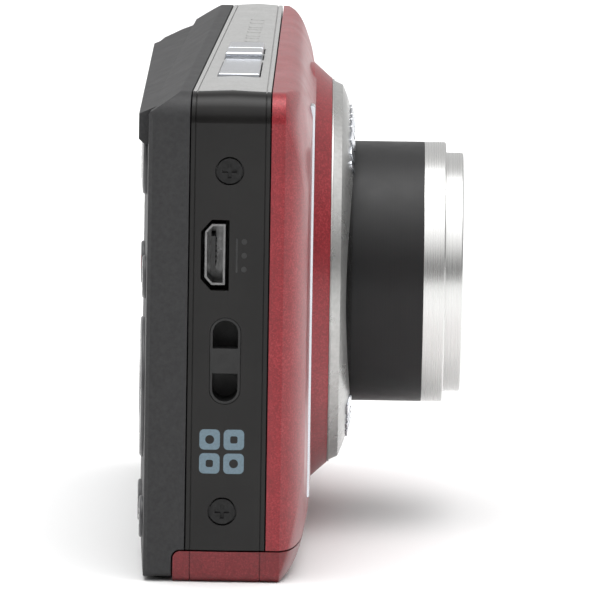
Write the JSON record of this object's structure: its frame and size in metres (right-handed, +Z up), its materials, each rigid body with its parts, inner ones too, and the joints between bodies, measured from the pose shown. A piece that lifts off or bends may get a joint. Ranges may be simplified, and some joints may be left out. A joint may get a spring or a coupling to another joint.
{
  "type": "compact digital camera",
  "caption": "Compact digital camera with retracting zoom lens, rear screen and keys, top shutter key, battery door under the grip, strap lug, data socket and tripod socket.",
  "frame": {"origin": "mouth of the tripod socket in the base, straight below the lens axis", "axes": "+Z up, the lens looks along -Y, +X towards the end away from the grip; stored switched on, with the lens out"},
  "size_m": [0.093, 0.0401, 0.0611],
  "materials": {
    "red_paint": "metallic satin",
    "rear_plastic": "fine texture",
    "gloss_black": "gloss",
    "screen_glass": "gloss",
    "silver_paint": "satin silver paint",
    "chrome": "polished",
    "turned_metal": "turned",
    "barrel_black": "matte",
    "inner_plastic": "matte",
    "steel": "brushed",
    "contact_metal": "plated",
    "board_green": "solder mask",
    "chip_black": "matte",
    "cell_sleeve": "printed sleeve",
    "clear_lens": "polished"
  },
  "bodies": {
    "camera_body": {"front_shell": "red_paint", "grip_strip": "chrome", "rear_cover": "rear_plastic", "screen_window": "screen_glass", "top_deck": "silver_paint", "grip_panel": "gloss_black", "far_panel": "gloss_black", "base_panel": "gloss_black", "case_screws": "steel", "strap_lug": "inner_plastic", "usb_receptacle": "steel", "usb_tongue": "inner_plastic", "rear_feet": "inner_plastic", "tripod_socket": "steel", "battery_box": "inner_plastic", "battery_1": "cell_sleeve", "battery_2": "cell_sleeve", "cell_contacts": "contact_metal", "main_board": "board_green", "screen_module": "chip_black", "key_boards": "board_green", "flash_capacitor": "chip_black", "far_bracket": "inner_plastic", "flash_window": "clear_lens", "flash_reflector": "steel", "focus_lamp": "clear_lens", "lens_bezel": "turned_metal", "bezel_insert": "gloss_black", "lens_mount": "barrel_black", "zoom_motor": "steel", "focus_rails": "steel", "image_sensor": "board_green"},
    "cam_ring": {"cam_ring": "inner_plastic"},
    "idler_gear": {"idler_gear": "inner_plastic"},
    "motor_pinion": {"motor_pinion": "contact_metal"},
    "outer_barrel": {"outer_barrel": "barrel_black", "outer_barrel_trim": "turned_metal", "shutter_unit": "barrel_black"},
    "inner_barrel": {"inner_barrel": "turned_metal", "name_ring": "barrel_black", "front_elements": "clear_lens", "front_cell": "barrel_black"},
    "upper_blade": {"upper_blade": "inner_plastic"},
    "lower_blade": {"lower_blade": "inner_plastic"},
    "focus_group": {"rear_cell": "barrel_black", "rear_element": "clear_lens"},
    "shutter_button": {"shutter_button": "chrome"},
    "power_button": {"power_button": "chrome"},
    "mode_button": {"mode_button": "chrome"},
    "video_button": {"video_button": "chrome"},
    "flash_button": {"flash_button": "chrome"},
    "menu_button": {"menu_button": "chrome"},
    "play_button": {"play_button": "chrome"},
    "direction_pad": {"direction_pad": "chrome"},
    "set_button": {"set_button": "chrome"},
    "zoom_rocker": {"zoom_rocker": "chrome"},
    "door_slider": {"door_hinge_slider": "steel"},
    "battery_door": {"battery_door": "red_paint", "door_contact_plate": "contact_metal"}
  },
  "joints": [
    {"name": "cam_turn", "type": "hinge", "parent": "camera_body", "child": "cam_ring", "pos_m": [0, -0.005, 0.0308], "axis": [0, 1, 0], "range_deg": [0, 150.5]},
    {"name": "idler_spin", "type": "hinge", "parent": "camera_body", "child": "idler_gear", "pos_m": [0.01716, 0, 0.0452], "axis": [0, 1, 0], "range_deg": [-700, 5]},
    {"name": "pinion_spin", "type": "hinge", "parent": "camera_body", "child": "motor_pinion", "pos_m": [0.01998, 0, 0.0505], "axis": [0, 1, 0], "range_deg": [-5, 1400]},
    {"name": "barrel_slide", "type": "slide", "parent": "camera_body", "child": "outer_barrel", "axis": [0, 1, 0], "range_m": [0, 0.0088]},
    {"name": "nose_slide", "type": "slide", "parent": "outer_barrel", "child": "inner_barrel", "axis": [0, 1, 0], "range_m": [0, 0.0019]},
    {"name": "upper_blade_swing", "type": "hinge", "parent": "inner_barrel", "child": "upper_blade", "pos_m": [-0.0105, -0.0255, 0.0338], "axis": [0, 1, 0], "range_deg": [0, 40]},
    {"name": "lower_blade_swing", "type": "hinge", "parent": "inner_barrel", "child": "lower_blade", "pos_m": [0.0105, -0.025, 0.0278], "axis": [0, 1, 0], "range_deg": [0, 40]},
    {"name": "focus_slide", "type": "slide", "parent": "camera_body", "child": "focus_group", "axis": [0, 1, 0], "range_m": [0, 0.0044]},
    {"name": "shutter_button_press", "type": "slide", "parent": "camera_body", "child": "shutter_button", "axis": [0, 0, -1], "range_m": [0, 0.00045], "stiffness_N_per_m": 400, "springref_m": -0.0002},
    {"name": "power_button_press", "type": "slide", "parent": "camera_body", "child": "power_button", "axis": [0, 0, -1], "range_m": [0, 0.0003], "stiffness_N_per_m": 400, "springref_m": -0.0002},
    {"name": "mode_button_press", "type": "slide", "parent": "camera_body", "child": "mode_button", "axis": [0, 0, -1], "range_m": [0, 0.0003], "stiffness_N_per_m": 400, "springref_m": -0.0002},
    {"name": "video_button_press", "type": "slide", "parent": "camera_body", "child": "video_button", "axis": [0.0273, -0.9996, 0], "range_m": [0, 0.0003], "stiffness_N_per_m": 400, "springref_m": -0.0002},
    {"name": "flash_button_press", "type": "slide", "parent": "camera_body", "child": "flash_button", "axis": [0.0273, -0.9996, 0], "range_m": [0, 0.0003], "stiffness_N_per_m": 400, "springref_m": -0.0002},
    {"name": "menu_button_press", "type": "slide", "parent": "camera_body", "child": "menu_button", "axis": [0.0273, -0.9996, 0], "range_m": [0, 0.0003], "stiffness_N_per_m": 400, "springref_m": -0.0002},
    {"name": "play_button_press", "type": "slide", "parent": "camera_body", "child": "play_button", "axis": [0.0273, -0.9996, 0], "range_m": [0, 0.0003], "stiffness_N_per_m": 400, "springref_m": -0.0002},
    {"name": "set_button_press", "type": "slide", "parent": "camera_body", "child": "set_button", "axis": [0.0273, -0.9996, 0], "range_m": [0, 0.0003], "stiffness_N_per_m": 400, "springref_m": -0.0002},
    {"name": "direction_pad_rock", "type": "hinge", "parent": "camera_body", "child": "direction_pad", "pos_m": [-0.03968, 0.0114, 0.0218], "axis": [0.9996, 0.0273, 0], "range_deg": [-1.5, 1.5], "stiffness_Nm_per_rad": 0.02},
    {"name": "zoom_rocker_rock", "type": "hinge", "parent": "camera_body", "child": "zoom_rocker", "pos_m": [-0.03948, 0.0114, 0.0498], "axis": [0, 0, 1], "range_deg": [-2, 2], "stiffness_Nm_per_rad": 0.02},
    {"name": "door_slide", "type": "slide", "parent": "camera_body", "child": "door_slider", "axis": [-1, 0, 0], "range_m": [0, 0.0025]},
    {"name": "door_swing", "type": "hinge", "parent": "door_slider", "child": "battery_door", "pos_m": [-0.0198, 0.001, 0.0019], "axis": [0, -1, 0], "range_deg": [0, 90]}
  ],
  "couplings": [
    {"joint": "cam_turn", "follows": "barrel_slide", "rad_per_m": 297.62},
    {"joint": "idler_spin", "follows": "barrel_slide", "rad_per_m": -1369},
    {"joint": "pinion_spin", "follows": "barrel_slide", "rad_per_m": 2738.1},
    {"joint": "nose_slide", "follows": "barrel_slide", "ratio": 0.21577},
    {"joint": "upper_blade_swing", "follows": "barrel_slide", "rad_per_m": 79.3},
    {"joint": "lower_blade_swing", "follows": "barrel_slide", "rad_per_m": 79.3},
    {"joint": "focus_slide", "follows": "barrel_slide", "ratio": 0.5}
  ]
}
